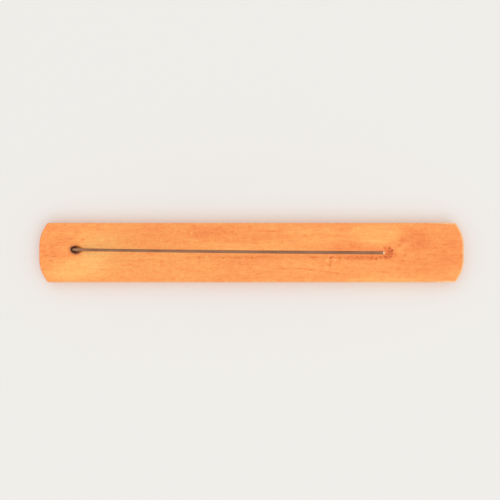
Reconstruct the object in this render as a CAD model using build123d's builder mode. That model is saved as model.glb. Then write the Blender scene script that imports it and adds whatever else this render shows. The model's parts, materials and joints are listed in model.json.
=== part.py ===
"""Flat wooden incense stick holder with an ash groove, and the stick that leans out of it.

Millimetres, +Z up. The origin is the middle of the board's underside. +X runs along the board, away from
the hole's end, and the stick leans over the board towards +X.
"""

import os
from math import cos, radians, sin, tan

from build123d import *

# Board: one slat of wood, flat on both faces.
BOARD_LENGTH = 250.0
BOARD_WIDTH = 35.0
BOARD_THICKNESS = 8.0
EDGE_EASE = 0.8  # sanded radius round the top and bottom faces

# Ends of the board: a straight middle, then a shoulder that falls back to each side.
SHOULDER_WIDTH = 8.0  # how far in from the side a shoulder starts, before it is blended in
SHOULDER_FALL = 4.8  # how far back along the board a shoulder meets the side
SHOULDER_BLEND = 20.0
CORNER_BLEND = 2.0

# Stick hole: a blind hole, drilled on a slant so that the stick leans over the board.
HOLE_DIAMETER = 4.4
HOLE_ANGLE = 38.0  # degrees above the board's face
HOLE_DEPTH = 7.3  # full-diameter depth along the hole, from the middle of its mouth
HOLE_FROM_END = 22.3
HOLE_OFF_CENTRE = 1.7
HOLE_RIM_EASE = 0.25
DRILL_POINT_ANGLE = 118.0

# Ash groove: a shallow run of a round-nosed cutter along the middle of the board.
GROOVE_FROM_HOLE = 61.0  # from the middle of the hole's mouth to the groove's near end
GROOVE_FROM_END = 42.2  # from the groove's far end to the end of the board
GROOVE_WIDTH = 8.0
GROOVE_DEPTH = 1.0
GROOVE_RIM_EASE = 0.3

# Stick: incense paste rolled on a bamboo core. It is loose in the hole, so it drops below the hole's line
# until its foot meets the hole's roof, while it rests on the lip of the mouth.
STICK_LENGTH = 190.0
CORE_DIAMETER = 1.3
CORE_BEVEL = 0.15
COAT_THICKNESS = 0.21
COAT_END_ROUND = 0.12
BARE_FOOT = 2.0  # core left uncoated at the end in the hole
BARE_TIP = 0.6  # core left uncoated at the free end
STICK_DROP = 16.0  # degrees below the line of the hole
STICK_TURN = -0.55  # degrees out of line with the board, seen from above
SEAT_CLEARANCE = 0.1  # left between the stick and what it rests on

hole_radius = HOLE_DIAMETER / 2
hole_slope = radians(HOLE_ANGLE)
hole_mouth = Vector(HOLE_FROM_END - BOARD_LENGTH / 2, HOLE_OFF_CENTRE, BOARD_THICKNESS)
hole_line = Vector(cos(hole_slope), 0, sin(hole_slope))  # out of the mouth
drill_point_height = hole_radius / tan(radians(DRILL_POINT_ANGLE / 2))
drill_run_out = HOLE_DIAMETER / tan(hole_slope)  # takes the drill clear of the board's face

# A ball-nosed cutter of this radius, sunk to the groove's depth, leaves a groove of the groove's width.
cutter_radius = (GROOVE_WIDTH**2 / 4 + GROOVE_DEPTH**2) / (2 * GROOVE_DEPTH)
cutter_height = BOARD_THICKNESS - GROOVE_DEPTH + cutter_radius
groove_near = hole_mouth.X + GROOVE_FROM_HOLE
groove_far = BOARD_LENGTH / 2 - GROOVE_FROM_END
groove_middle = (groove_near + groove_far) / 2
cutter_run = groove_far - groove_near - GROOVE_WIDTH

# One end's corners before they are blended, from its far side to its near side.
end_corners = [
    (BOARD_LENGTH / 2 - SHOULDER_FALL, BOARD_WIDTH / 2),
    (BOARD_LENGTH / 2, BOARD_WIDTH / 2 - SHOULDER_WIDTH),
    (BOARD_LENGTH / 2, SHOULDER_WIDTH - BOARD_WIDTH / 2),
    (BOARD_LENGTH / 2 - SHOULDER_FALL, -BOARD_WIDTH / 2),
]
other_end_corners = [(-x, -y) for x, y in end_corners]

with BuildPart() as holder_board:
    with BuildSketch() as outline:
        with BuildLine():
            Polyline(*end_corners, *other_end_corners, close=True)
        make_face()
        fillet(outline.vertices().group_by(lambda v: abs(v.X))[-1], SHOULDER_BLEND)
        fillet(outline.vertices().group_by(lambda v: abs(v.Y))[-1], CORNER_BLEND)
    extrude(amount=BOARD_THICKNESS)
    fillet(holder_board.faces().filter_by(Axis.Z).edges(), EDGE_EASE)

    # The cutter goes down at one end of the groove, runs along the board and comes up at the other.
    with Locations((groove_middle, 0, cutter_height)):
        Cylinder(cutter_radius, cutter_run, rotation=(0, 90, 0), mode=Mode.SUBTRACT)
        with GridLocations(cutter_run, 0, 2, 1):
            Sphere(cutter_radius, mode=Mode.SUBTRACT)
    top_face = holder_board.faces().filter_by(Axis.Z).sort_by(Axis.Z)[-1]
    fillet(top_face.inner_wires().edges(), GROOVE_RIM_EASE)

    # Half of the drill's outline, turned about the line of the hole.
    with BuildSketch(Plane(hole_mouth, x_dir=(0, 1, 0), z_dir=Vector(0, 1, 0).cross(hole_line))):
        with BuildLine():
            Polyline(
                (0, -HOLE_DEPTH - drill_point_height),
                (hole_radius, -HOLE_DEPTH),
                (hole_radius, drill_run_out),
                (0, drill_run_out),
                close=True,
            )
        make_face()
    revolve(axis=Axis(hole_mouth, hole_line), mode=Mode.SUBTRACT)
    top_face = holder_board.faces().filter_by(Axis.Z).sort_by(Axis.Z)[-1]
    fillet(top_face.inner_wires().sort_by(Axis.X)[0].edges(), HOLE_RIM_EASE)

# Where the stick rests: on the lip of the mouth, as far in as the hole's roof or bottom lets its foot go.
core_radius = CORE_DIAMETER / 2
coat_radius = core_radius + COAT_THICKNESS
drop = radians(STICK_DROP)
lip = hole_mouth + Vector(hole_radius / sin(hole_slope), 0, 0)
lip_to_axis = coat_radius + SEAT_CLEARANCE
room_under_roof = HOLE_DIAMETER - SEAT_CLEARANCE
core_to_roof = (room_under_roof - (lip_to_axis + core_radius) * cos(drop)) / sin(drop)
coat_to_roof = (room_under_roof - (lip_to_axis + coat_radius) * cos(drop)) / sin(drop)
core_to_bottom = (
    HOLE_DEPTH - SEAT_CLEARANCE + hole_radius / tan(hole_slope) + (lip_to_axis - core_radius) * sin(drop)
) / cos(drop)
reach_in_hole = min(core_to_roof, coat_to_roof + BARE_FOOT, core_to_bottom)

stick_slope = HOLE_ANGLE - STICK_DROP
stick_line = Vector(1, 0, 0).rotate(Axis.Y, -stick_slope).rotate(Axis.Z, STICK_TURN)
stick_up = Vector(0, 0, 1).rotate(Axis.Y, -stick_slope).rotate(Axis.Z, STICK_TURN)
stick_foot = lip + stick_up * lip_to_axis - stick_line * reach_in_hole
stick_plane = Plane(stick_foot, z_dir=stick_line)

with BuildPart() as bamboo_core:
    with BuildSketch(stick_plane):
        Circle(core_radius)
    extrude(amount=STICK_LENGTH)
    chamfer(bamboo_core.edges().filter_by(GeomType.CIRCLE), CORE_BEVEL)

with BuildPart() as incense_coat:
    with BuildSketch(stick_plane.offset(BARE_FOOT)):
        Circle(coat_radius)
        Circle(core_radius, mode=Mode.SUBTRACT)
    extrude(amount=STICK_LENGTH - BARE_FOOT - BARE_TIP)
    fillet(incense_coat.edges().filter_by(GeomType.CIRCLE).group_by(SortBy.RADIUS)[-1], COAT_END_ROUND)

os.makedirs("parts", exist_ok=True)
pieces = {"holder_board": holder_board, "bamboo_core": bamboo_core, "incense_coat": incense_coat}
for name, piece in pieces.items():
    piece.part.label = name
    export_step(piece.part, f"parts/{name}.step")

print("stick line", tuple(stick_line))
print("stick foot", tuple(stick_foot), "tip", tuple(stick_foot + stick_line * STICK_LENGTH))
print("reach in the hole, past the lip", reach_in_hole)
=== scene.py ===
"""Looks of a flat wooden incense stick holder: an oiled board with an ash groove, and the stick that leans
out of it.

Sizes are in millimetres in the part's own frame, and every mesh is written in metres.
"""

import json
from math import ceil, cos, pi, radians, sin, sqrt, tan

import bmesh
import bpy
import numpy as np
from mathutils import Matrix, Vector, noise
from mathutils.geometry import delaunay_2d_cdt


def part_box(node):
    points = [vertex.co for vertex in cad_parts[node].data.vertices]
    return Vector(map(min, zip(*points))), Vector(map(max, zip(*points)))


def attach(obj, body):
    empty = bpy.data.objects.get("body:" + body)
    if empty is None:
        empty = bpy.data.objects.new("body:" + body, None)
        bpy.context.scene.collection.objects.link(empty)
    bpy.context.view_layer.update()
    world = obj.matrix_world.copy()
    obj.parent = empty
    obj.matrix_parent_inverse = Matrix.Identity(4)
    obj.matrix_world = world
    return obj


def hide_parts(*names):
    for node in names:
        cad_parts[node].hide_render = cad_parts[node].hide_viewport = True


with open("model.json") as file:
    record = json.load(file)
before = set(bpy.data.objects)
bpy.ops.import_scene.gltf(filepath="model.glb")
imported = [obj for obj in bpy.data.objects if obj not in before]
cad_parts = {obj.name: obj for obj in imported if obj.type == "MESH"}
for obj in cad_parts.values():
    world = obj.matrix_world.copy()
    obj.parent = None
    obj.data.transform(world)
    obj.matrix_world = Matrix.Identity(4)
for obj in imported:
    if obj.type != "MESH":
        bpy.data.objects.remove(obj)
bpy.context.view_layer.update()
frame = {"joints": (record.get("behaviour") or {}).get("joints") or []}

MM = 0.001

# The board, as the frame gives it, and the shape of its ends, hole and groove.
BOARD_LOW, BOARD_HIGH = (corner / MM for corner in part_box("holder_board"))
TOP = BOARD_HIGH.z
SHOULDER_WIDTH = 8.0
SHOULDER_FALL = 4.8
SHOULDER_BLEND = 20.0
CORNER_BLEND = 2.0
EDGE_EASE = 0.8
HOLE_MOUTH = Vector((-102.7, 1.7, TOP))
HOLE_RADIUS = 2.2
HOLE_SLOPE = radians(38.0)
HOLE_DEPTH = 7.3
DRILL_POINT = radians(59.0)  # between the drill's line and its cutting edges
GROOVE_RUN = (-37.7, 78.8)  # where the middle of the round-nosed cutter started and stopped
GROOVE_WIDTH = 8.0
GROOVE_DEPTH = 1.0

# The stick, along the line that it is drawn out on.
STICK_LENGTH = 190.0
STICK_LINE = Vector(frame["joints"][0]["axis"]).normalized()
STICK_FOOT = sum(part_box("bamboo_core"), Vector()) / 2 / MM - STICK_LINE * STICK_LENGTH / 2
CORE_RADIUS = 0.65
CORE_BEVEL = 0.15
COAT_RADIUS = 0.86
COAT_FROM, COAT_TO = 2.0, 189.4
COAT_ROUND = 0.12

# What sanding and rolling by hand leave on the pieces.
EASE_STRAYS = 0.13  # how far the sanded radius of the top edges strays from its size
TOP_DIP = 0.06  # deepest dip of the sanded top
MOUTH_EASE = 0.4  # how far out the hole's mouth is rounded
GROOVE_RIM_SOFT = 0.1  # height over which the groove's rim is softened
STICK_BOW = -0.28  # sideways, at the middle of the stick
CREASE = radians(50)  # faces that turn by more than this meet in a sharp edge

# Marks on the wood: how deep they go, and which are broad or narrow.
THROUGH_BOARD = 40.0
NEAR_TOP = 3.0
BROAD = 10.0  # half length over which a patch is broad
NARROW = 0.9  # half width under which a mark is narrow

# The line of ash on one wall of the groove: its place across the board, and its run along it.
ASH_LINE = -2.7
ASH_RUN = (-42.0, 84.0)

PALE = "#EDEBE7"  # floor and backdrop


def linear(colour):
    """An sRGB hex colour as linear light."""
    parts = [int(colour[at : at + 2], 16) / 255 for at in (1, 3, 5)]
    return (*(p / 12.92 if p <= 0.04045 else ((p + 0.055) / 1.055) ** 2.4 for p in parts), 1.0)


def add(tree, kind, inputs=None, stops=(), **settings):
    """Adds a node with its settings. An input takes a value, or another node's output to link to.

    Inputs go by name, or by number where a name repeats: Map Range reads from 1 to 2 and gives 3 to 4, and
    Mix has its share at 0 and its two colours at 6 and 7.
    """
    made = tree.nodes.new(kind)
    for name, value in settings.items():
        setattr(made, name, value)
    for name, value in (inputs or {}).items():
        if isinstance(value, bpy.types.NodeSocket):
            tree.links.new(value, made.inputs[name])
        else:
            made.inputs[name].default_value = value
    for order, (at, colour) in enumerate(stops):
        ramp = made.color_ramp.elements
        if order == 0:
            ramp.remove(ramp[1])
            ramp[0].position = at
        stop = ramp.new(at) if order else ramp[0]
        stop.color = linear(colour)
    return made


def finish_of(name):
    """A new material, and its node tree with nothing in it."""
    material = bpy.data.materials.new(name)
    material.use_nodes = True
    material.node_tree.nodes.clear()
    return material, material.node_tree


# Where the wood is paler (above 0) or redder (below 0), with a few places of painted light and shade among
# them, as marked: x, y, half length, half width, turn in degrees and change to its tone.
WOOD_TONE_AND_PAINTED_LIGHT = [
    # Broad ones, from one end of the board to the other.
    (-101.0, -10.5, 27.0, 9.5, 6, 0.36),
    (-113.0, 1.5, 14.0, 8.0, 0, -0.09),
    (-107.0, 7.0, 11.0, 5.0, 0, -0.16),
    (-92.0, -2.2, 13.0, 4.2, 0, 0.22),
    (-93.0, 6.0, 24.0, 12.0, 0, 0.21),
    (-95.0, -5.0, 26.0, 4.0, 0, 0.11),
    # Paler wood beside the hole, with painted light where the stick's shadow falls on it.
    (-94.0, 4.0, 14.0, 8.0, 0, 0.08),
    (-54.0, 6.0, 22.0, 12.0, 0, -0.10),
    (-62.0, -3.0, 58.0, 22.0, 0, 0.09),
    (-30.0, 12.5, 15.0, 5.0, 0, -0.16),
    # Painted light and shade of the groove's walls: a paler band along its far wall, and a darker one along
    # its near wall, under the stick.
    (2.0, 3.4, 52.0, 4.2, 0, 0.20),
    (12.0, -2.0, 44.0, 1.8, 0, -0.10),
    (-10.0, 10.5, 30.0, 8.0, 0, -0.13),
    (38.0, 10.0, 22.0, 8.0, 0, 0.15),
    (33.0, -9.5, 14.0, 4.5, 0, 0.12),
    (62.0, 0.5, 30.0, 4.6, 0, -0.26),
    (57.0, 4.4, 15.0, 3.0, 0, -0.17),
    (73.0, 6.4, 11.0, 2.2, 0, 0.20),
    (74.0, 12.0, 24.0, 8.0, 0, 0.27),
    (97.0, 7.0, 15.0, 11.5, -12, -0.32),
    (117.0, -1.0, 15.0, 15.0, 0, -0.14),
    (94.0, -8.0, 20.0, 7.0, 0, -0.14),
    (80.0, -16.5, 40.0, 4.5, 0, 0.22),
    (119.0, -11.0, 10.0, 6.0, 0, 0.12),
    # The figure round a small knot, past the groove.
    (88.6, 7.0, 3.4, 2.4, 0, -0.30),
    (87.4, 4.2, 1.8, 1.6, 0, -0.24),
    (91.0, 4.6, 3.8, 2.2, 10, 0.22),
    (88.2, 2.6, 3.6, 1.9, 40, 0.26),
    (90.7, -1.0, 1.7, 2.8, 0, -0.22),
    (88.2, -4.7, 3.2, 1.4, -20, -0.22),
    (88.5, -2.0, 6.0, 4.5, 0, -0.14),
    (99.7, 6.7, 3.0, 1.5, 0, -0.22),
    # Short dashes of the grain.
    (-119.2, 5.3, 1.8, 1.0, 0, -0.17),
    (-115.0, 4.7, 2.0, 1.1, 0, -0.24),
    (-117.6, 3.8, 2.0, 1.0, 0, -0.17),
    (-116.4, 0.2, 3.4, 1.0, 0, -0.21),
    (-113.4, 1.7, 2.6, 1.0, 0, -0.15),
    (-120.3, -1.5, 3.0, 1.0, -5, -0.32),
    (-115.4, -2.1, 2.2, 0.9, 0, -0.18),
    (-118.0, -4.3, 2.4, 1.0, 0, -0.24),
    (-112.2, 11.0, 2.2, 1.1, 0, -0.35),
    (-102.2, 11.8, 4.0, 0.9, 0, -0.20),
    (-99.1, 7.8, 2.2, 1.2, 0, -0.43),
    (-30.5, -5.4, 2.2, 0.9, -15, -0.23),
    (-16.2, 12.0, 2.0, 1.0, 0, -0.32),
    (-11.6, 12.2, 2.0, 1.0, 0, -0.32),
    (5.6, 12.7, 5.5, 0.8, 0, -0.42),
    (12.4, 12.6, 6.5, 0.8, 0, -0.48),
    (3.4, 5.4, 4.4, 0.8, 0, -0.42),
    (31.5, 9.8, 2.6, 0.9, 0, -0.21),
    (18.5, -9.2, 4.6, 0.8, 0, -0.30),
    (27.0, -9.3, 7.0, 0.8, -2, -0.52),
    (34.4, -10.1, 5.2, 0.7, -8, -0.52),
    (42.0, -11.1, 6.5, 0.7, -7, -0.38),
    (49.2, -11.9, 4.2, 0.8, -9, -0.42),
    (78.0, -11.4, 5.0, 0.8, -5, -0.36),
    # Pale flecks where the surface is nicked. The one at x 44.6 is a painted highlight on the lit side of a
    # small dent.
    (-35.4, 11.3, 1.0, 1.6, 0, 0.70),
    (-26.4, -2.4, 1.0, 1.7, 0, 0.42),
    (44.6, -4.8, 1.9, 1.5, 20, 0.50),
    (49.0, -4.8, 1.4, 1.5, 0, 0.38),
]

# Stains of fallen embers, ash and resin: x, y, half length, half width, turn in degrees and strength.
BURN_MARKS = [
    # A smudge round the hole.
    (-104.0, 2.2, 6.0, 5.0, 0, 0.90),
    # Along one wall of the groove, and round its far end.
    (-30.7, -3.0, 1.2, 1.0, 0, 0.62),
    (-28.2, -2.8, 2.6, 1.0, 0, 0.34),
    (-16.6, -3.0, 1.2, 1.0, 0, 0.56),
    (-8.0, -2.8, 9.0, 1.1, 0, 0.36),
    (0.2, -3.1, 1.1, 1.0, 0, 0.46),
    (2.4, -3.1, 1.0, 1.0, 0, 0.44),
    (36.5, -2.8, 4.0, 1.2, 0, 0.46),
    (46.7, -3.0, 1.9, 1.2, 40, 1.20),
    (46.4, -5.7, 1.0, 1.0, 0, 0.46),
    (46.1, -7.6, 1.1, 1.8, 0, 0.46),
    (52.3, -3.4, 1.7, 1.5, 0, 0.70),
    (56.6, -3.5, 1.6, 1.3, 0, 0.66),
    (60.3, -3.5, 2.2, 1.3, 0, 0.46),
    (65.0, -3.2, 1.9, 1.4, 0, 0.66),
    (64.0, -3.4, 15.0, 1.6, 0, 0.38),
    (70.4, -3.6, 2.2, 1.2, 0, 0.50),
    (73.3, -3.6, 1.6, 1.4, 0, 0.66),
    (76.2, -2.8, 2.4, 1.5, 0, 0.60),
    (78.7, -2.9, 2.0, 1.7, 0, 1.20),
    (78.8, 2.8, 2.0, 1.5, 0, 0.72),
    (81.1, 2.5, 1.5, 1.8, 0, 0.80),
    (82.5, 1.2, 1.5, 1.7, -35, 0.92),
    (81.6, 0.4, 1.4, 1.8, 0, 1.20),
    (82.6, -1.2, 1.5, 1.4, 0, 0.80),
    (82.0, -2.2, 1.3, 1.5, 0, 0.70),
    (80.6, -0.9, 4.9, 4.9, 0, 0.72),
    (84.6, -1.2, 2.2, 3.2, 0, 0.28),
]


def moved_about(tree, at, reach, stretch, detail):
    """Places on the board, moved about by up to half of a reach each way, over stretches of one length."""
    drift = add(tree, "ShaderNodeTexNoise", {"Vector": at, "Scale": 1 / stretch, "Detail": detail})
    drift = add(
        tree, "ShaderNodeVectorMath",
        {0: drift.outputs["Color"], 1: reach, 2: tuple(-part / 2 for part in reach)},
        operation="MULTIPLY_ADD",
    ).outputs[0]
    return add(tree, "ShaderNodeVectorMath", {0: at, 1: drift}, operation="ADD").outputs[0]


def mark_on_top(tree, lies_on, mark, depth, full_at=1.0):
    """How much a mark changes each place: nothing from its edge out, and its whole amount from full_at in,
    where its edge is at 0 and its middle at 1."""
    x, y, long, wide, turn, amount = mark
    spot = add(
        tree, "ShaderNodeMapping",
        {
            "Vector": lies_on,
            "Location": (x, y, TOP),
            "Rotation": (0, 0, radians(turn)),
            "Scale": (long, wide, depth),
        },
        vector_type="TEXTURE",
    ).outputs[0]
    near = add(tree, "ShaderNodeTexGradient", {"Vector": spot}, gradient_type="SPHERICAL").outputs["Fac"]
    return add(
        tree, "ShaderNodeMapRange", {"Value": near, 1: 0.0, 2: full_at, 3: 0.0, 4: amount},
        interpolation_type="SMOOTHSTEP", clamp=False,
    ).outputs[0]


def grain_tone(tree, wandering):
    """The tone that the grain gives, from 0 for reddest to 1 for palest, and the patterns in it by name."""
    # Length along the grain, width across it, detail and share in the tone. Real fibres are about 0.03 mm
    # wide, too fine to show, so bundles of them are drawn.
    tone = 0.5
    grain = {}
    for name, along, across, detail, share in (
        ("pores", 1.1, 0.8, 2.0, 0.78),
        ("lines", 12.0, 0.3, 2.0, 0.45),
        ("mottle", 3.6, 2.6, 1.0, 0.34),
        ("fibres", 8.0, 1.0, 3.0, 0.44),
        ("streaks", 26.0, 3.0, 2.0, 0.30),
        ("clouds", 28.0, 12.0, 2.0, 0.30),
    ):
        drawn_out = add(
            tree, "ShaderNodeMapping", {"Vector": wandering, "Scale": (1 / along, 1 / across, 1 / across)}
        ).outputs[0]
        grain[name] = add(
            tree, "ShaderNodeTexNoise", {"Vector": drawn_out, "Scale": 1.0, "Detail": detail}
        ).outputs["Fac"]
        centred = add(tree, "ShaderNodeMath", {0: grain[name], 1: 0.5}, operation="SUBTRACT").outputs[0]
        tone = add(
            tree, "ShaderNodeMath", {0: centred, 1: share, 2: tone}, operation="MULTIPLY_ADD"
        ).outputs[0]

    # Growth rings about 3 mm apart, round a heart well below and beside the board. At a scale of 1 they
    # would be 0.314 mm apart.
    heart = add(tree, "ShaderNodeMapping", {"Vector": wandering, "Location": (0.0, 64.0, 52.0)}).outputs[0]
    rings = add(
        tree, "ShaderNodeTexWave",
        {"Vector": heart, "Scale": 0.314 / 3.0, "Distortion": 2.0, "Detail": 2.0, "Detail Scale": 0.3},
        wave_type="RINGS", rings_direction="X", wave_profile="SAW",
    ).outputs["Fac"]
    tone = add(tree, "ShaderNodeMath", {0: rings, 1: -0.07, 2: tone}, operation="MULTIPLY_ADD").outputs[0]
    return tone, grain


def ray_flecks(tree, wandering):
    """Flecks where the rays are cut, about 3 mm long and drawn twice as wide as real ones."""
    cells = add(
        tree, "ShaderNodeMapping", {"Vector": wandering, "Scale": (1 / 5.0, 1 / 0.9, 1 / 0.9)}
    ).outputs[0]
    ray = add(tree, "ShaderNodeTexVoronoi", {"Vector": cells, "Scale": 1.0}).outputs
    fleck = add(tree, "ShaderNodeMapRange", {"Value": ray["Distance"], 1: 0.36, 2: 0.24}).outputs[0]
    # Only some of the cells hold one.
    pick = add(tree, "ShaderNodeMapRange", {"Value": ray["Color"], 1: 0.45, 2: 0.75}).outputs[0]
    return add(tree, "ShaderNodeMath", {0: fleck, 1: pick}, operation="MULTIPLY").outputs[0]


def burn_stain(tree, at, ragged, split):
    """How strongly embers, ash and resin have stained each place."""
    stain = 0.0
    for mark in BURN_MARKS:
        amount = mark_on_top(tree, ragged, mark, NEAR_TOP)
        stain = add(tree, "ShaderNodeMath", {0: stain, 1: amount}, operation="MAXIMUM").outputs[0]
    # Stains are uneven, by crumbs of ash about 1 mm across.
    crumbs = add(tree, "ShaderNodeMapping", {"Vector": at, "Scale": (1 / 1.5, 1 / 0.9, 1 / 0.9)}).outputs[0]
    crumbs = add(
        tree, "ShaderNodeTexNoise", {"Vector": crumbs, "Scale": 1.0, "Detail": 2.0}
    ).outputs["Fac"]
    broken = add(tree, "ShaderNodeMapRange", {"Value": crumbs, 1: 0.36, 2: 0.66, 3: 0.5, 4: 1.5}).outputs[0]
    stain = add(tree, "ShaderNodeMath", {0: stain, 1: broken}, operation="MULTIPLY").outputs[0]

    # Ash and oil of burnt sticks lie in a broken line on one wall of the groove, more towards its far end.
    off_line = add(tree, "ShaderNodeMath", {0: split["Y"], 1: -ASH_LINE}, operation="ADD").outputs[0]
    off_line = add(tree, "ShaderNodeMath", {0: off_line}, operation="ABSOLUTE").outputs[0]
    on_line = add(tree, "ShaderNodeMapRange", {"Value": off_line, 1: 1.0, 2: 0.25}).outputs[0]
    run = add(tree, "ShaderNodeMapRange", {"Value": split["X"], 1: ASH_RUN[0], 2: ASH_RUN[1]}).outputs[0]
    run = add(
        tree, "ShaderNodeValToRGB", {"Fac": run},
        stops=(
            (0.0, "#000000"), (0.03, "#808080"), (0.11, "#B0B0B0"), (0.14, "#505050"), (0.18, "#C8C8C8"),
            (0.40, "#B0B0B0"), (0.45, "#404040"), (0.58, "#404040"), (0.61, "#C0C0C0"), (0.66, "#909090"),
            (0.72, "#B0B0B0"), (0.76, "#FFFFFF"), (0.96, "#FFFFFF"), (0.99, "#000000"),
        ),
    ).outputs["Color"]
    residue = add(tree, "ShaderNodeMath", {0: on_line, 1: run}, operation="MULTIPLY").outputs[0]
    crumbs = add(
        tree, "ShaderNodeMapRange", {"Value": crumbs, 1: 0.38, 2: 0.68, 3: 0.04, 4: 0.6}
    ).outputs[0]
    residue = add(tree, "ShaderNodeMath", {0: residue, 1: crumbs}, operation="MULTIPLY").outputs[0]
    above = add(tree, "ShaderNodeMath", {0: split["Z"], 1: TOP / 2}, operation="GREATER_THAN").outputs[0]
    residue = add(tree, "ShaderNodeMath", {0: residue, 1: above}, operation="MULTIPLY").outputs[0]
    return add(tree, "ShaderNodeMath", {0: stain, 1: residue}, operation="MAXIMUM").outputs[0]


def rubbed_and_lit_edges(tree, along, pores):
    """Where the edges are paler: wood that hands have rubbed free of oil, and a painted highlight where the
    light catches them, in broken stretches, most at the end away from the hole.
    """
    arris = add(tree, "ShaderNodeAttribute", attribute_name="arris").outputs["Fac"]
    broken = add(tree, "ShaderNodeMapRange", {"Value": pores, 1: 0.35, 2: 0.65, 3: 0.3, 4: 0.8}).outputs[0]
    sides = add(
        tree, "ShaderNodeMapRange", {"Value": along, 1: -122.0, 2: -100.0, 3: 0.0, 4: 0.3}
    ).outputs[0]
    # The far end's edge is paler still, as wear and as a painted highlight.
    far_end_worn_and_lit = add(
        tree, "ShaderNodeMapRange", {"Value": along, 1: 104.0, 2: 120.0, 3: 0.0, 4: 2.4}
    ).outputs[0]
    handled_and_lit = add(tree, "ShaderNodeMath", {0: sides, 1: far_end_worn_and_lit}, operation="ADD").outputs[0]
    bare_and_lit = add(tree, "ShaderNodeMath", {0: arris, 1: broken}, operation="MULTIPLY").outputs[0]
    return add(
        tree, "ShaderNodeMath", {0: bare_and_lit, 1: handled_and_lit}, operation="MULTIPLY", use_clamp=True
    ).outputs[0]


def hole_soot_and_shade(tree, ragged, height):
    """How dark the hole and its rim are, and the colour: soot on the rim, and inside the hole soot with
    painted shade. There is most at the back and the bottom, and none at the lip that the stick lies on. It
    is thickest on the rim."""
    hole = add(
        tree, "ShaderNodeMapping",
        {
            "Vector": ragged,
            "Location": HOLE_MOUTH - Vector((0, 0.12, 0)),
            "Rotation": (0, pi / 2 - HOLE_SLOPE, 0),
        },
        vector_type="TEXTURE",
    ).outputs[0]
    hole = add(tree, "ShaderNodeSeparateXYZ", {0: hole}).outputs
    flat = add(tree, "ShaderNodeCombineXYZ", {"X": hole["X"], "Y": hole["Y"]}).outputs[0]
    out = add(tree, "ShaderNodeVectorMath", {0: flat}, operation="LENGTH").outputs["Value"]
    round_and_in_hole = add(
        tree, "ShaderNodeMapRange", {"Value": out, 1: 3.35, 2: 1.95}, interpolation_type="SMOOTHSTEP"
    ).outputs[0]
    inside = add(tree, "ShaderNodeMath", {0: hole["Z"], 1: -9.2}, operation="GREATER_THAN").outputs[0]
    round_and_in_hole = add(tree, "ShaderNodeMath", {0: round_and_in_hole, 1: inside}, operation="MULTIPLY").outputs[0]
    to_lip = add(
        tree, "ShaderNodeVectorMath", {0: ragged, 1: (1.0, 0.35, 0.0)}, operation="DOT_PRODUCT"
    ).outputs["Value"]
    to_lip = add(
        tree, "ShaderNodeMapRange", {"Value": to_lip, 1: HOLE_MOUTH.x - 4.4, 2: HOLE_MOUTH.x + 5.6}
    ).outputs[0]
    to_lip = add(
        tree, "ShaderNodeValToRGB", {"Fac": to_lip},
        stops=((0.05, "#B0B0B0"), (0.18, "#FFFFFF"), (0.34, "#FFFFFF"), (0.72, "#000000")),
    ).outputs["Color"]
    soot_and_shade = add(tree, "ShaderNodeMath", {0: round_and_in_hole, 1: to_lip}, operation="MULTIPLY").outputs[0]
    deep = add(tree, "ShaderNodeMapRange", {"Value": height, 1: TOP - 0.4, 2: TOP - 1.5}).outputs[0]
    soot_and_shade_colour = add(
        tree, "ShaderNodeMix", {0: deep, 6: linear("#623E31"), 7: linear("#AC7D64")}, data_type="RGBA"
    ).outputs[2]
    return soot_and_shade, soot_and_shade_colour


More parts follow.
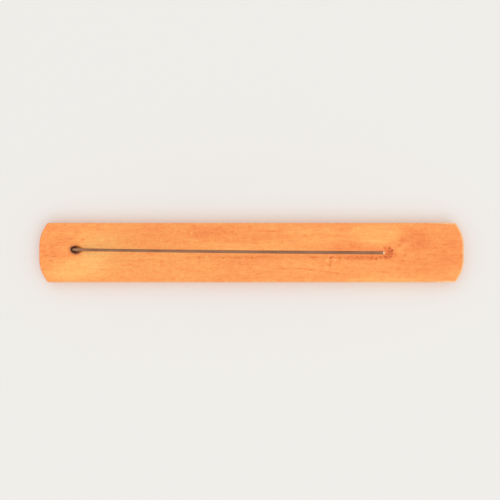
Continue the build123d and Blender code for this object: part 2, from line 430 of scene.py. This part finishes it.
def oiled_beech():
    """Steamed beech, planed, sanded and oiled: an even warm orange with fine straight fibres, short darker
    flecks where the rays are cut, a low soft gloss, and paler wood along the edges, rubbed by hands and
    with a painted highlight.
    Painted light and shade also lie on the groove's walls and beside the hole, and painted shade in the
    hole."""
    material, tree = finish_of("steamed_beech_sanded_and_oiled")
    coordinates = add(tree, "ShaderNodeTexCoord").outputs
    at = add(
        tree, "ShaderNodeVectorMath", {0: coordinates["Object"], "Scale": 1 / MM}, operation="SCALE"
    ).outputs[0]
    # The grain wanders a little, over stretches of about 30 mm. Marks have ragged edges, about 0.6 mm deep.
    wandering = moved_about(tree, at, reach=(5.0, 2.6, 2.6), stretch=30.0, detail=1.0)
    ragged = moved_about(tree, at, reach=(1.2, 1.2, 0.0), stretch=1.1, detail=2.0)
    split = add(tree, "ShaderNodeSeparateXYZ", {0: ragged}).outputs

    tone, grain = grain_tone(tree, wandering)
    # Broad patches go through the board and have a wide even middle, and small ones lie near its top. The
    # narrowest have clean edges.
    for mark in WOOD_TONE_AND_PAINTED_LIGHT:
        long, wide = mark[2:4]
        if long > BROAD:
            change = mark_on_top(tree, wandering, mark, THROUGH_BOARD, full_at=0.7)
        else:
            change = mark_on_top(tree, at if wide < NARROW else ragged, mark, NEAR_TOP)
        tone = add(tree, "ShaderNodeMath", {0: tone, 1: change}, operation="ADD").outputs[0]
    fleck = ray_flecks(tree, wandering)
    tone = add(tree, "ShaderNodeMath", {0: fleck, 1: -0.24, 2: tone}, operation="MULTIPLY_ADD").outputs[0]
    # The board's ends cut across the fibres, soak up more oil and go darker.
    facing = add(tree, "ShaderNodeSeparateXYZ", {0: coordinates["Normal"]}).outputs["X"]
    facing = add(tree, "ShaderNodeMath", {0: facing}, operation="ABSOLUTE").outputs[0]
    end_grain = add(
        tree, "ShaderNodeMapRange", {"Value": facing, 1: 0.6, 2: 0.95, 3: 0.0, 4: -0.35}
    ).outputs[0]
    tone = add(tree, "ShaderNodeMath", {0: tone, 1: end_grain}, operation="ADD").outputs[0]
    colour = add(
        tree, "ShaderNodeValToRGB", {"Fac": tone},
        stops=((0.0, "#EC7C37"), (0.25, "#F88E44"), (0.5, "#FB9D50"), (0.75, "#FDAC5A"), (1.0, "#FFBC69")),
    ).outputs["Color"]

    # Stains darken the wood, edges are pale where their oil is worn off and with a painted highlight, and
    # soot, with painted shade inside the hole, darkens the hole and its rim.
    burnt = add(
        tree, "ShaderNodeValToRGB", {"Fac": burn_stain(tree, at, ragged, split)},
        stops=((0.0, "#FFFFFF"), (0.4, "#F0D3B6"), (1.0, "#BC8977")),
    ).outputs["Color"]
    colour = add(
        tree, "ShaderNodeMix", {0: 1.0, 6: colour, 7: burnt}, data_type="RGBA", blend_type="MULTIPLY"
    ).outputs[2]
    bare_and_lit = rubbed_and_lit_edges(tree, split["X"], grain["pores"])
    colour = add(
        tree, "ShaderNodeMix", {0: bare_and_lit, 6: colour, 7: linear("#FFC78C")}, data_type="RGBA"
    ).outputs[2]
    soot_and_shade, soot_and_shade_colour = hole_soot_and_shade(tree, ragged, split["Z"])
    colour = add(tree, "ShaderNodeMix", {0: soot_and_shade, 6: colour, 7: soot_and_shade_colour}, data_type="RGBA").outputs[2]

    roughness = add(
        tree, "ShaderNodeMapRange", {"Value": grain["fibres"], 1: 0.3, 2: 0.7, 3: 0.44, 4: 0.58}
    ).outputs[0]
    relief = add(
        tree, "ShaderNodeMath", {0: fleck, 1: -0.5, 2: grain["fibres"]}, operation="MULTIPLY_ADD"
    ).outputs[0]
    relief = add(
        tree, "ShaderNodeBump", {"Strength": 0.5, "Distance": 0.05 * MM, "Height": relief}
    ).outputs[0]
    shader = add(
        tree, "ShaderNodeBsdfPrincipled",
        {"Base Color": colour, "Roughness": roughness, "IOR": 1.47, "Normal": relief},
    )
    add(tree, "ShaderNodeOutputMaterial", {"Surface": shader.outputs[0]})
    return material


def split_bamboo():
    """Bamboo, split and drawn through a die: pale straw with darker fibre bundles along it, dull where it
    was cut."""
    material, tree = finish_of("split_bamboo_drawn_through_a_die")
    lie = add(tree, "ShaderNodeAttribute", attribute_name="lie").outputs["Vector"]
    # Fibre bundles are about 0.12 mm across and run the length of the stick.
    bundles = add(
        tree, "ShaderNodeMapping", {"Vector": lie, "Scale": (1 / 0.12, 1 / 0.12, 1 / 9.0)}
    ).outputs[0]
    bundles = add(
        tree, "ShaderNodeTexNoise", {"Vector": bundles, "Scale": 1.0, "Detail": 2.0}
    ).outputs["Fac"]
    colour = add(
        tree, "ShaderNodeValToRGB", {"Fac": bundles},
        stops=((0.3, "#DDB07A"), (0.45, "#F4D3A2"), (0.7, "#FBE0B4")),
    ).outputs["Color"]
    relief = add(
        tree, "ShaderNodeBump", {"Strength": 0.5, "Distance": 0.02 * MM, "Height": bundles}
    ).outputs[0]
    shader = add(
        tree, "ShaderNodeBsdfPrincipled",
        {"Base Color": colour, "Roughness": 0.6, "IOR": 1.5, "Normal": relief},
    )
    add(tree, "ShaderNodeOutputMaterial", {"Surface": shader.outputs[0]})
    return material


def incense_paste():
    """Incense paste, rolled on and dried: a dull brown of ground wood and resin, with darker and paler
    grains and a powdery surface that hardly shines."""
    material, tree = finish_of("incense_paste_rolled_and_dried")
    lie = add(tree, "ShaderNodeAttribute", attribute_name="lie").outputs["Vector"]
    # The ground wood is about 0.1 mm, too fine to show, so clumps of 0.4 mm are drawn.
    grains = add(
        tree, "ShaderNodeTexNoise", {"Vector": lie, "Scale": 1 / 0.4, "Detail": 3.0}
    ).outputs["Fac"]
    # Rolling leaves it lighter and darker in turns, over about 14 mm.
    turns = add(
        tree, "ShaderNodeMapping", {"Vector": lie, "Scale": (1 / 2.0, 1 / 2.0, 1 / 14.0)}
    ).outputs[0]
    turns = add(
        tree, "ShaderNodeTexNoise", {"Vector": turns, "Scale": 1.0, "Detail": 2.0}
    ).outputs["Fac"]
    tone = add(tree, "ShaderNodeMath", {0: turns, 1: 0.6, 2: -0.3}, operation="MULTIPLY_ADD").outputs[0]
    tone = add(tree, "ShaderNodeMath", {0: grains, 1: tone}, operation="ADD").outputs[0]
    colour = add(
        tree, "ShaderNodeValToRGB", {"Fac": tone},
        stops=((0.25, "#7D523A"), (0.5, "#986A4D"), (0.75, "#AF8160")),
    ).outputs["Color"]
    # The stick is paler over its lowest 15 mm, most from 5 mm down, and its lowest 4 mm, deep in the hole
    # under the rim, is darkened with painted shade.
    height = add(tree, "ShaderNodeSeparateXYZ", {0: lie}).outputs["Z"]
    paler_near_hole = add(
        tree, "ShaderNodeMapRange", {"Value": height, 1: 15.0, 2: 5.0, 3: 0.0, 4: 0.45}
    ).outputs[0]
    colour = add(
        tree, "ShaderNodeMix", {0: paler_near_hole, 6: colour, 7: linear("#BF936E")}, data_type="RGBA"
    ).outputs[2]
    shaded_foot = add(tree, "ShaderNodeMapRange", {"Value": height, 1: 4.4, 2: 3.4}).outputs[0]
    colour = add(
        tree, "ShaderNodeMix", {0: shaded_foot, 6: colour, 7: linear("#5A3A2A")}, data_type="RGBA"
    ).outputs[2]
    relief = add(
        tree, "ShaderNodeBump", {"Strength": 0.6, "Distance": 0.05 * MM, "Height": grains}
    ).outputs[0]
    shader = add(
        tree, "ShaderNodeBsdfPrincipled",
        {"Base Color": colour, "Roughness": 0.9, "IOR": 1.45, "Specular IOR Level": 0.3, "Normal": relief},
    )
    add(tree, "ShaderNodeOutputMaterial", {"Surface": shader.outputs[0]})
    return material


def looked_at(tree):
    """1 for rays that show a thing to the camera, straight or mirrored, and 0 for rays that light the
    object."""
    rays = add(tree, "ShaderNodeLightPath").outputs
    seen = rays["Is Camera Ray"]
    for way in ("Is Glossy Ray", "Is Transmission Ray"):
        seen = add(tree, "ShaderNodeMath", {0: seen, 1: rays[way]}, operation="MAXIMUM").outputs[0]
    return seen


def matt_paper():
    """Matt seamless paper: an even pale grey with no shine, which runs into the backdrop away from the
    object."""
    material, tree = finish_of("matt_seamless_paper")
    at = add(tree, "ShaderNodeTexCoord").outputs["Object"]
    away = add(tree, "ShaderNodeVectorMath", {0: at}, operation="LENGTH").outputs["Value"]
    away = add(
        tree, "ShaderNodeMapRange", {"Value": away, 1: 0.4, 2: 2.4}, interpolation_type="SMOOTHSTEP"
    ).outputs[0]
    away = add(tree, "ShaderNodeMath", {0: away, 1: looked_at(tree)}, operation="MULTIPLY").outputs[0]
    paper = add(tree, "ShaderNodeBsdfDiffuse", {"Color": linear(PALE)}).outputs[0]
    backdrop = add(tree, "ShaderNodeEmission", {"Color": linear(PALE)}).outputs[0]
    shader = add(tree, "ShaderNodeMixShader", {0: away, 1: paper, 2: backdrop})
    add(tree, "ShaderNodeOutputMaterial", {"Surface": shader.outputs[0]})
    return material


def smooth_step(low, high, value):
    """Goes from 0 at low to 1 at high, with soft ends."""
    share = np.clip((value - low) / (high - low), 0, 1)
    return share * share * (3 - 2 * share)


def board_edge():
    """Points round the board's edge, anticlockwise, and the outward direction at each."""
    spacing = 1.2
    arc_shares = np.linspace(0, 1, 9)
    end, side = BOARD_HIGH.x, BOARD_HIGH.y
    middle = side - SHOULDER_WIDTH
    half = [
        (end, -middle, SHOULDER_BLEND),
        (end, middle, SHOULDER_BLEND),
        (end - SHOULDER_FALL, side, CORNER_BLEND),
        (SHOULDER_FALL - end, side, CORNER_BLEND),
    ]
    corners = np.array(half + [(-x, -y, blend) for x, y, blend in half])
    places, blends = corners[:, :2], corners[:, 2]
    runs = np.roll(places, -1, axis=0) - places
    runs /= np.linalg.norm(runs, axis=1)[:, None]
    faces = np.stack((runs[:, 1], -runs[:, 0]), axis=1)
    arcs = []
    for place, blend, before, after in zip(places, blends, np.roll(faces, 1, axis=0), faces):
        centre = place - (before + after) * blend / (1 + before @ after)
        from_angle = np.arctan2(before[1], before[0])
        swept = np.arccos(before @ after)
        angles = from_angle + swept * arc_shares
        outward = np.stack((np.cos(angles), np.sin(angles)), axis=1)
        arcs.append((centre + outward * blend, outward))
    points, outwards = [], []
    for (arc, outward), (following, _), face in zip(arcs, arcs[1:] + arcs[:1], faces):
        gap = np.linalg.norm(following[0] - arc[-1])
        steps = np.linspace(0, 1, ceil(gap / spacing) + 1)[1:-1, None]
        points += [arc, arc[-1] + (following[0] - arc[-1]) * steps]
        outwards += [outward, np.repeat(face[None], len(steps), axis=0)]
    return np.concatenate(points), np.concatenate(outwards)


def edge_rings(edge, outward):
    """Rings round the board's edge, from the underside to the top face."""
    # The top edges were eased by hand, so the sanded radius varies, over stretches of about 17 mm.
    strays = np.array([noise.noise(Vector((x / 17, y / 17, 2.0))) for x, y in edge])
    ease = EDGE_EASE + EASE_STRAYS * strays
    profile = []
    for lean in np.linspace(0, pi / 2, 6):
        profile.append((EDGE_EASE * (1 - sin(lean)), EDGE_EASE * (1 - cos(lean))))
    for height in (2.0, 3.3, 4.7, 6.0):
        profile.append((0.0, height))
    for lean in np.linspace(0, pi / 2, 7):
        profile.append((ease * (1 - cos(lean)), TOP - ease * (1 - sin(lean))))
    rings = []
    for inset, height in profile:
        inset = np.broadcast_to(inset, len(edge))[:, None]
        rings.append(np.column_stack((edge - outward * inset, np.broadcast_to(height, len(edge)))))
    return rings


def groove_loop(out):
    """Points round the groove, at one distance from the line that the cutter ran on."""
    near, far = GROOVE_RUN
    bend = np.linspace(-pi / 2, pi / 2, 25)
    line = np.linspace(near, far, 118)[1:-1]
    return np.concatenate((
        np.stack((far + out * np.cos(bend), out * np.sin(bend)), axis=1),
        np.stack((line[::-1], np.full(len(line), out)), axis=1),
        np.stack((near - out * np.cos(bend), -out * np.sin(bend)), axis=1),
        np.stack((line, np.full(len(line), -out)), axis=1),
    ))


def groove_distance(plan):
    """How far points of the top face are from the line that the cutter ran on."""
    on_line = np.clip(plan[:, 0], *GROOVE_RUN)
    return np.hypot(plan[:, 0] - on_line, plan[:, 1])


def top_height(plan):
    """Height of the top face, down into the groove, whose rim is softened by sanding."""
    cutter = (GROOVE_WIDTH**2 / 4 + GROOVE_DEPTH**2) / (2 * GROOVE_DEPTH)
    # Points well away from the groove are held within the cutter's radius.
    out = np.minimum(groove_distance(plan), cutter * 0.9)
    bowl = TOP - GROOVE_DEPTH + cutter - np.sqrt(cutter**2 - out**2)
    meet = np.maximum(GROOVE_RIM_SOFT - np.abs(TOP - bowl), 0)
    return np.minimum(TOP, bowl) - meet**2 / (4 * GROOVE_RIM_SOFT)


def hole_rim(out, turns):
    """Points round the hole's mouth on the top face, at a distance out from its edge."""
    long, wide = HOLE_RADIUS / sin(HOLE_SLOPE) + out, HOLE_RADIUS + out
    return np.stack((HOLE_MOUTH.x - long * np.cos(turns), HOLE_MOUTH.y + wide * np.sin(turns)), axis=1)


def in_mouth(plan, out):
    """Which points of the top face lie inside the hole's rim at a distance out from its edge."""
    long, wide = HOLE_RADIUS / sin(HOLE_SLOPE) + out, HOLE_RADIUS + out
    return np.hypot((plan[:, 0] - HOLE_MOUTH.x) / long, (plan[:, 1] - HOLE_MOUTH.y) / wide) < 1


def bridge(rings):
    """Vertices and quads of closed rings, each joined to the next."""
    count = len(rings[0])
    quads = []
    for row in range(len(rings) - 1):
        low, high = row * count, (row + 1) * count
        for i in range(count):
            following = (i + 1) % count
            quads.append((low + i, low + following, high + following, high + i))
    return np.concatenate(rings), quads


def hole_wall(turns):
    """The hole's skin: a rounded rim, a slanted wall, and the cone that the drill's point leaves."""
    mouth = np.array(HOLE_MOUTH)
    line = np.array((cos(HOLE_SLOPE), 0.0, sin(HOLE_SLOPE)))
    across = np.stack(
        (-sin(HOLE_SLOPE) * np.cos(turns), np.sin(turns), cos(HOLE_SLOPE) * np.cos(turns)), axis=1
    )
    # The rim goes down as it goes in, and the straight wall starts below it.
    wall = [
        np.column_stack((hole_rim(out, turns), np.full(len(turns), TOP - drop)))
        for out, drop in ((MOUTH_EASE, 0.0), (0.22, 0.03), (0.08, 0.1))
    ]
    wall_drop = 0.24
    start = (HOLE_RADIUS * np.cos(turns) * cos(HOLE_SLOPE) + wall_drop) / sin(HOLE_SLOPE)
    for share in np.linspace(0, 1, 9):
        depth = start + (HOLE_DEPTH - start) * share
        wall.append(mouth + HOLE_RADIUS * across - depth[:, None] * line)
    for share in (0.7, 0.4, 0.1):
        depth = HOLE_DEPTH + HOLE_RADIUS * (1 - share) / tan(DRILL_POINT)
        wall.append(mouth + HOLE_RADIUS * share * across - depth * line)
    skin, quads = bridge(wall)
    last = len(skin) - len(turns)
    point = mouth - (HOLE_DEPTH + HOLE_RADIUS / tan(DRILL_POINT)) * line
    quads += [(last + i, last + (i + 1) % len(turns), len(skin)) for i in range(len(turns))]
    return np.concatenate((skin, point[None])), quads


def filled(loops, spacing, keep):
    """Triangles over a face with closed loops as edges, and a staggered grid of points where keep says."""
    rows = np.arange(BOARD_LOW.y, BOARD_HIGH.y, spacing * sqrt(3) / 2)
    grid = [
        (x + spacing / 2 * (row % 2), y)
        for row, y in enumerate(rows)
        for x in np.arange(BOARD_LOW.x, BOARD_HIGH.x, spacing)
    ]
    grid = np.array(grid)
    points = np.concatenate((*loops, grid[keep(grid)]))
    edges = []
    first = 0
    for loop in loops:
        edges += [(first + i, first + (i + 1) % len(loop)) for i in range(len(loop))]
        first += len(loop)
    made = delaunay_2d_cdt([Vector(p) for p in points], edges, [], 1, 1e-5)
    return np.array(made[0]), [tuple(face) for face in made[2]]


def board_mesh():
    """The board as one closed skin: edge, top with groove, drilled hole and underside."""
    edge, outward = board_edge()
    rings = edge_rings(edge, outward)
    turns = np.linspace(0, 2 * pi, 64, endpoint=False)

    def from_edge(plan):
        """How far points are inside the board's edge, which is straight or bulges outwards everywhere."""
        return np.min((edge * outward).sum(axis=1) - plan @ outward.T, axis=1)

    def plain_top(plan):
        """Points of the top face that are away from its edge, the groove and the hole."""
        return (from_edge(plan) > 2.2) & (groove_distance(plan) > 5.1) & ~in_mouth(plan, 1.1)

    def plain_underside(plan):
        """Points of the underside that are away from its edge."""
        return from_edge(plan) > 4.0

    # The top's loops lie closest where its height changes: at its edge, the hole's rim and the groove.
    loops = [rings[-1][:, :2], edge - outward * 1.4]
    loops += [hole_rim(MOUTH_EASE, turns), hole_rim(0.75, turns[::2])]
    loops += [groove_loop(out) for out in (4.7, 4.3, 4.1, 3.95, 3.8, 3.5, 3.0, 2.4, 1.8, 1.2, 0.6, 0.2)]
    plan, faces = filled(loops, 1.0, plain_top)
    centres = np.array([plan[list(face)].mean(axis=0) for face in faces])
    faces = [face for face, opened in zip(faces, in_mouth(centres, MOUTH_EASE)) if not opened]
    top = np.column_stack((plan, top_height(plan))), faces
    plan, faces = filled([rings[0][:, :2]], 6.0, plain_underside)
    underside = np.column_stack((plan, np.zeros(len(plan)))), faces

    made = bmesh.new()
    for places, faces in (bridge(rings), top, hole_wall(turns), underside):
        corners = [made.verts.new(place) for place in places]
        for face in faces:
            made.faces.new([corners[i] for i in face])
    bmesh.ops.remove_doubles(made, verts=made.verts, dist=1e-3)
    bmesh.ops.recalc_face_normals(made, faces=made.faces)
    mesh = bpy.data.meshes.new("oiled_board")
    made.to_mesh(mesh)
    made.free()

    places = np.empty(len(mesh.vertices) * 3)
    mesh.vertices.foreach_get("co", places)
    places = places.reshape(-1, 3)
    # How near each point is to the sharp edges that the sanding took off, top and bottom.
    aside = from_edge(places[:, :2])
    corner = np.minimum(np.hypot(aside, TOP - places[:, 2]), np.hypot(aside, places[:, 2]))
    arris = 1 - smooth_step(0.3, 1.1, corner)
    mesh.attributes.new("arris", "FLOAT", "POINT").data.foreach_set("value", arris.astype(np.float32))
    # The sanded top dips by a few hundredths, in dips longer along the grain than across it.
    dips = np.array([noise.noise(Vector((x / 21, y / 8, 5.0))) for x, y, _ in places])
    places[:, 2] -= TOP_DIP / 2 * (1 + dips) * smooth_step(TOP / 2, TOP, places[:, 2])
    mesh.vertices.foreach_set("co", (places * MM).ravel())
    mesh.shade_smooth()
    mesh.set_sharp_from_angle(angle=CREASE)
    mesh.update()
    return mesh


def rolled_rod():
    """A tree that turns half of a rod's outline round the rod's line. Each point of the outline becomes one
    ring."""
    tree = bpy.data.node_groups.new("rolled_rod", "GeometryNodeTree")
    for name, kind in (
        ("Outline", "NodeSocketGeometry"),
        ("Sides", "NodeSocketInt"),
        ("Bore", "NodeSocketFloat"),
        ("Radius", "NodeSocketFloat"),
        ("Relief", "NodeSocketFloat"),
        ("Grain", "NodeSocketVector"),
        ("Seed", "NodeSocketFloat"),
        ("Bow", "NodeSocketFloat"),
        ("Length", "NodeSocketFloat"),
        ("Finish", "NodeSocketMaterial"),
    ):
        tree.interface.new_socket(name, in_out="INPUT", socket_type=kind)
    tree.interface.new_socket("Rod", in_out="OUTPUT", socket_type="NodeSocketGeometry")
    given = add(tree, "NodeGroupInput").outputs

    count = add(tree, "GeometryNodeAttributeDomainSize", {0: given["Outline"]}).outputs["Point Count"]
    columns = add(tree, "FunctionNodeIntegerMath", {0: given["Sides"], 1: 1}, operation="ADD").outputs[0]
    grid = add(tree, "GeometryNodeMeshGrid", {"Vertices X": columns, "Vertices Y": count}).outputs["Mesh"]
    index = add(tree, "GeometryNodeInputIndex").outputs[0]
    row = add(tree, "FunctionNodeIntegerMath", {0: index, 1: count}, operation="MODULO").outputs[0]
    column = add(tree, "FunctionNodeIntegerMath", {0: index, 1: count}, operation="DIVIDE_FLOOR").outputs[0]
    place = add(tree, "GeometryNodeInputPosition").outputs[0]
    station = add(
        tree, "GeometryNodeSampleIndex", {0: given["Outline"], 1: place, 2: row}, data_type="FLOAT_VECTOR"
    ).outputs[0]
    turn = add(tree, "ShaderNodeMath", {0: column, 1: 2 * pi}, operation="MULTIPLY").outputs[0]
    turn = add(tree, "ShaderNodeMath", {0: turn, 1: given["Sides"]}, operation="DIVIDE").outputs[0]
    turned = add(
        tree, "ShaderNodeVectorRotate", {"Vector": station, "Angle": turn}, rotation_type="Z_AXIS"
    ).outputs[0]

    # Relief goes inwards, fades to nothing at the bore, and is drawn out by the size of the grain.
    grain = add(tree, "ShaderNodeVectorMath", {0: turned, 1: given["Grain"]}, operation="DIVIDE").outputs[0]
    rough = add(
        tree, "ShaderNodeTexNoise", {"Vector": grain, "W": given["Seed"], "Scale": 1.0, "Detail": 2.0},
        noise_dimensions="4D",
    ).outputs["Fac"]
    flat = add(tree, "ShaderNodeVectorMath", {0: turned, 1: (1, 1, 0)}, operation="MULTIPLY").outputs[0]
    out = add(tree, "ShaderNodeVectorMath", {0: flat}, operation="LENGTH").outputs["Value"]
    share = add(tree, "ShaderNodeMapRange", {"Value": out, 1: given["Bore"], 2: given["Radius"]}).outputs[0]
    depth = add(tree, "ShaderNodeMath", {0: rough, 1: given["Relief"]}, operation="MULTIPLY").outputs[0]
    depth = add(tree, "ShaderNodeMath", {0: depth, 1: share}, operation="MULTIPLY").outputs[0]
    depth = add(tree, "ShaderNodeMath", {0: depth, 1: -1.0}, operation="MULTIPLY").outputs[0]
    inward = add(tree, "ShaderNodeVectorMath", {0: flat}, operation="NORMALIZE").outputs[0]
    inward = add(tree, "ShaderNodeVectorMath", {0: inward, "Scale": depth}, operation="SCALE").outputs[0]
    lie = add(tree, "ShaderNodeVectorMath", {0: turned, 1: inward}, operation="ADD").outputs[0]

    # The stick is bowed sideways a little, most at its middle.
    along = add(tree, "ShaderNodeSeparateXYZ", {0: lie}).outputs["Z"]
    along = add(tree, "ShaderNodeMath", {0: along, 1: given["Length"]}, operation="DIVIDE").outputs[0]
    along = add(tree, "ShaderNodeMath", {0: along, 1: pi}, operation="MULTIPLY").outputs[0]
    bow = add(tree, "ShaderNodeMath", {0: along}, operation="SINE").outputs[0]
    bow = add(tree, "ShaderNodeMath", {0: bow, 1: given["Bow"]}, operation="MULTIPLY").outputs[0]
    bow = add(tree, "ShaderNodeCombineXYZ", {"Y": bow}).outputs[0]
    bowed = add(tree, "ShaderNodeVectorMath", {0: lie, 1: bow}, operation="ADD").outputs[0]

    # The finish reads each point's place before the bow.
    rod = add(
        tree, "GeometryNodeStoreNamedAttribute", {0: grid, "Name": "lie", "Value": lie},
        data_type="FLOAT_VECTOR", domain="POINT",
    ).outputs[0]
    rod = add(tree, "GeometryNodeSetPosition", {0: rod, "Position": bowed}).outputs[0]
    rod = add(tree, "GeometryNodeMergeByDistance", {0: rod, "Distance": 1e-4}).outputs[0]
    rod = add(tree, "GeometryNodeSetShadeSmooth", {0: rod}).outputs[0]
    rod = add(tree, "GeometryNodeRealizeInstances", {0: rod}).outputs[0]
    rod = add(tree, "GeometryNodeSetMaterial", {0: rod, "Material": given["Finish"]}).outputs[0]
    add(tree, "NodeGroupOutput", {0: rod})
    return tree


def stick_piece(name, tree, outline, sizes):
    """Rolls a piece of the stick from its half outline, and lays it on the stick's line as a plain mesh."""
    half = bpy.data.meshes.new(name)
    stations = [(out, 0, along) for out, along in outline]
    half.from_pydata(stations, [(i, i + 1) for i in range(len(stations) - 1)], [])
    piece = bpy.data.objects.new(name, half)
    bpy.context.scene.collection.objects.link(piece)
    roll = piece.modifiers.new("roll", "NODES")
    roll.node_group = tree
    for socket in tree.interface.items_tree:
        if socket.name in sizes:
            roll[socket.identifier] = sizes[socket.name]
    rolled = piece.evaluated_get(bpy.context.evaluated_depsgraph_get())
    mesh = bpy.data.meshes.new_from_object(rolled)
    piece.modifiers.remove(roll)
    piece.data = mesh
    skin = bmesh.new()
    skin.from_mesh(mesh)
    bmesh.ops.recalc_face_normals(skin, faces=skin.faces)
    skin.to_mesh(mesh)
    skin.free()
    lean = Vector((0, 0, 1)).rotation_difference(STICK_LINE).to_matrix().to_4x4()
    mesh.transform(Matrix.Scale(MM, 4) @ Matrix.Translation(STICK_FOOT) @ lean)
    mesh.set_sharp_from_angle(angle=CREASE)
    return piece


def stick_pieces():
    """The bamboo core, and the coat of paste rolled round it."""
    tree = rolled_rod()
    stick = {"Bow": STICK_BOW, "Length": STICK_LENGTH}
    shaft = [(CORE_RADIUS, along) for along in np.linspace(CORE_BEVEL, STICK_LENGTH - CORE_BEVEL, 160)]
    foot = [(0.0, 0.0), (CORE_RADIUS / 2, 0.0), (CORE_RADIUS - CORE_BEVEL, 0.0)]
    tip = [(out, STICK_LENGTH - along) for out, along in reversed(foot)]
    core = stick_piece(
        "bamboo_splint", tree, foot + shaft + tip,
        {
            **stick, "Sides": 28, "Bore": 0.0, "Radius": CORE_RADIUS, "Relief": 0.03,
            "Grain": (0.25, 0.25, 14.0), "Seed": 3.0, "Finish": split_bamboo(),
        },
    )
    bends = np.linspace(0, pi / 2, 4)
    inner = COAT_RADIUS - COAT_ROUND
    foot = [(inner + COAT_ROUND * sin(bend), COAT_FROM + COAT_ROUND * (1 - cos(bend))) for bend in bends]
    tip = [(inner + COAT_ROUND * cos(bend), COAT_TO - COAT_ROUND * (1 - sin(bend))) for bend in bends]
    shaft = [(COAT_RADIUS, along) for along in np.linspace(foot[-1][1], tip[0][1], 760)[1:-1]]
    bore = [(CORE_RADIUS, along) for along in np.linspace(COAT_TO, COAT_FROM, 40)]
    coat = stick_piece(
        "incense_paste_roll", tree, foot + shaft + tip + bore + foot[:1],
        {
            **stick, "Sides": 30, "Bore": CORE_RADIUS, "Radius": COAT_RADIUS, "Relief": 0.04,
            "Grain": (0.5, 0.5, 0.7), "Seed": 8.0, "Finish": incense_paste(),
        },
    )
    return core, coat


def studio():
    """A pale floor, soft light all round, a large soft box from the near side and a fainter one from the
    far side."""
    floor = bpy.data.meshes.new("floor")
    reach, height = 30.0, -0.0002  # in metres, just clear of the board's underside
    signs = ((-1, -1), (1, -1), (1, 1), (-1, 1))
    floor.from_pydata([(x * reach, y * reach, height) for x, y in signs], [], [(0, 1, 2, 3)])
    floor.materials.append(matt_paper())
    floor = bpy.data.objects.new("floor", floor)
    bpy.context.scene.collection.objects.link(floor)

    world = bpy.data.worlds.new("soft_studio")
    bpy.context.scene.world = world
    world.use_nodes = True
    tree = world.node_tree
    tree.nodes.clear()
    light = add(tree, "ShaderNodeBackground", {"Color": linear("#FFFFFF"), "Strength": 0.8}).outputs[0]
    backdrop = add(tree, "ShaderNodeBackground", {"Color": linear(PALE), "Strength": 1.0}).outputs[0]
    both = add(tree, "ShaderNodeMixShader", {0: looked_at(tree), 1: light, 2: backdrop})
    add(tree, "ShaderNodeOutputWorld", {"Surface": both.outputs[0]})

    lamp_distance = 3.0
    for name, direction, size, watts in (
        ("soft_box", Vector((0.25, -0.45, 1.0)), 3.6, 22.0),
        ("fill", Vector((-0.2, 0.5, 1.0)), 3.0, 8.0),
    ):
        lamp = bpy.data.lights.new(name, "AREA")
        lamp.shape = "DISK"
        lamp.size = size
        lamp.energy = watts
        holder = bpy.data.objects.new(name, lamp)
        holder.location = direction.normalized() * lamp_distance
        holder.rotation_euler = direction.to_track_quat("Z", "Y").to_euler()
        bpy.context.scene.collection.objects.link(holder)


def straight_down():
    """A camera half a metre above the board, looking straight down, with the board's length across the
    picture."""
    lens = bpy.data.cameras.new("straight_down")
    lens.sensor_width = 36.0
    shown_width = 294.0  # of the board's top face, across the whole picture
    height = 500.0
    lens.lens = lens.sensor_width * height / shown_width
    camera = bpy.data.objects.new("straight_down", lens)
    camera.location = Vector((-0.94, 1.5, TOP + height)) * MM
    bpy.context.scene.collection.objects.link(camera)
    bpy.context.scene.camera = camera


bpy.context.scene.view_settings.view_transform = "Standard"
studio()
straight_down()

board = bpy.data.objects.new("oiled_board", board_mesh())
board.data.materials.append(oiled_beech())
bpy.context.scene.collection.objects.link(board)
core, coat = stick_pieces()

for piece, body, node, slot in (
    (board, "holder", "holder_board", "oiled_wood"),
    (core, "stick", "bamboo_core", "bamboo"),
    (coat, "stick", "incense_coat", "incense_paste"),
):
    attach(piece, body)
    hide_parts(node)
